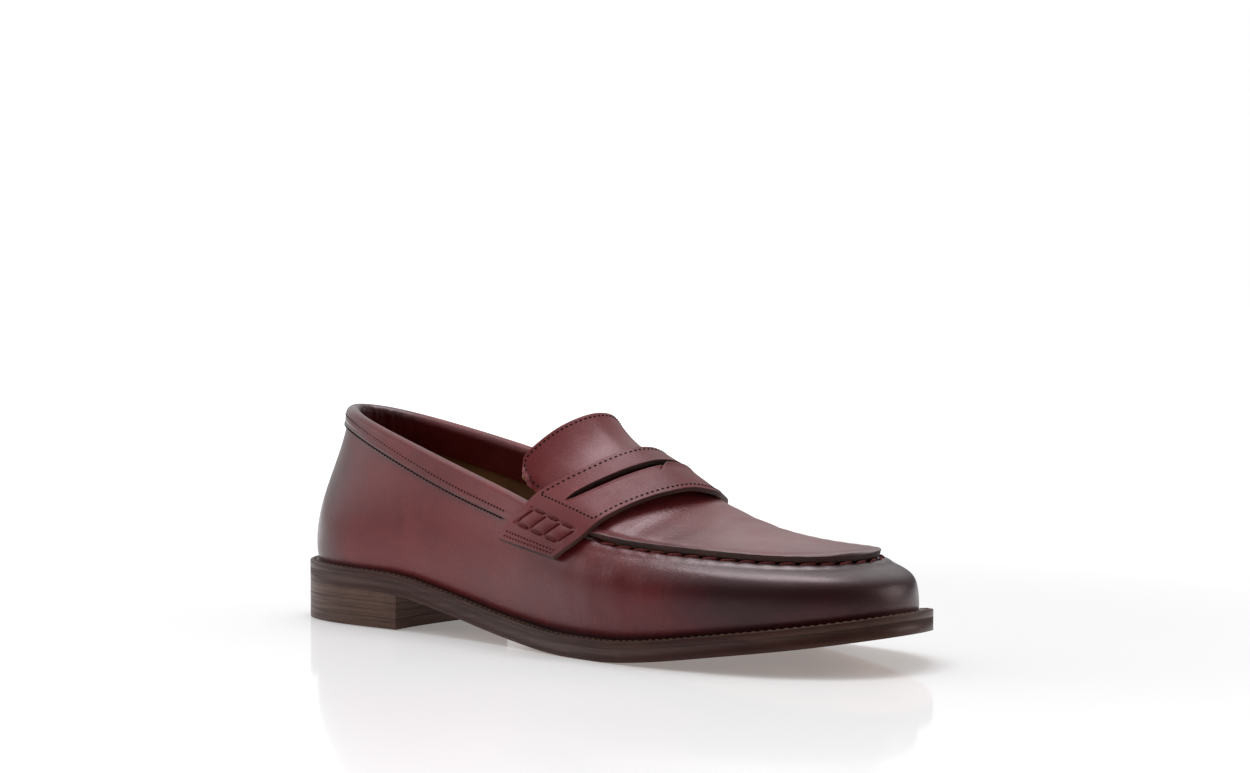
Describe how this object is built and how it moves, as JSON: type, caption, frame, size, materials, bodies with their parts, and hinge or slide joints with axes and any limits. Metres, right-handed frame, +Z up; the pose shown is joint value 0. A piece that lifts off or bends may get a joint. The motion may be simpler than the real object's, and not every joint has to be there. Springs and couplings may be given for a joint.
{
  "type": "penny loafer",
  "caption": "Right-foot slip-on loafer with a raised apron, a slotted saddle strap over a lifting tongue, a stitched welt and a stacked heel.",
  "frame": {"origin": "centre of the footprint box on the ground plane under the heel and the ball of the foot", "axes": "+X from heel to toe, +Y towards the inner (medial) side of this right shoe, +Z up"},
  "size_m": [0.3003, 0.1039, 0.0902],
  "materials": {
    "rubber": "satin black-brown rubber",
    "stacked_leather": "dark burnished edge with faint layer lines",
    "brass_nail": "dull brass",
    "sole_leather": "dark burnished sole leather",
    "insole_leather": "undyed vegetable-tanned leather",
    "cork": "ground cork and resin",
    "spring_steel": "oiled spring steel",
    "foam": "open-cell foam with cloth backing",
    "stiffener": "pressed fibre",
    "lining_leather": "tan smooth lining leather",
    "collar_leather": "soft deep red leather",
    "upper_thread": "waxed dark thread",
    "welt_thread": "waxed brown thread",
    "upper_leather": "semi-gloss oxblood calf with burnished toe"
  },
  "bodies": {
    "shoe": {"heel_top_piece": "rubber", "heel_lift_lower": "stacked_leather", "heel_lift_middle": "stacked_leather", "heel_lift_upper": "stacked_leather", "heel_nails": "brass_nail", "outsole": "sole_leather", "welt": "sole_leather", "insole_rib": "insole_leather", "cork_filler": "cork", "shank": "spring_steel", "insole": "insole_leather", "heel_pad": "foam", "sock_liner": "lining_leather", "wraparound_vamp": "upper_leather", "toe_puff": "stiffener", "heel_counter": "stiffener", "vamp_lining": "lining_leather", "quarter_lining_lateral": "lining_leather", "quarter_lining_medial": "lining_leather", "heel_grip": "lining_leather", "collar_padding": "foam", "topline_collar": "collar_leather", "back_strip": "upper_leather", "apron": "upper_leather", "apron_lining": "lining_leather", "saddle_strap": "upper_leather", "apron_stitching": "upper_thread", "welt_stitching": "welt_thread", "sole_stitching": "welt_thread", "collar_stitching": "upper_thread", "back_strip_stitching": "upper_thread", "strap_edge_stitching": "upper_thread", "tab_stitching_lateral": "upper_thread", "tab_stitching_medial": "upper_thread"},
    "tongue_flap": {"tongue": "upper_leather", "tongue_lining": "lining_leather", "tongue_stitching": "upper_thread"}
  },
  "joints": [
    {"name": "tongue_lift", "type": "hinge", "parent": "shoe", "child": "tongue_flap", "pos_m": [0.0239, -0.00028, 0.0736], "axis": [0, 1, 0], "range_deg": [0, 18], "stiffness_Nm_per_rad": 0.15}
  ]
}
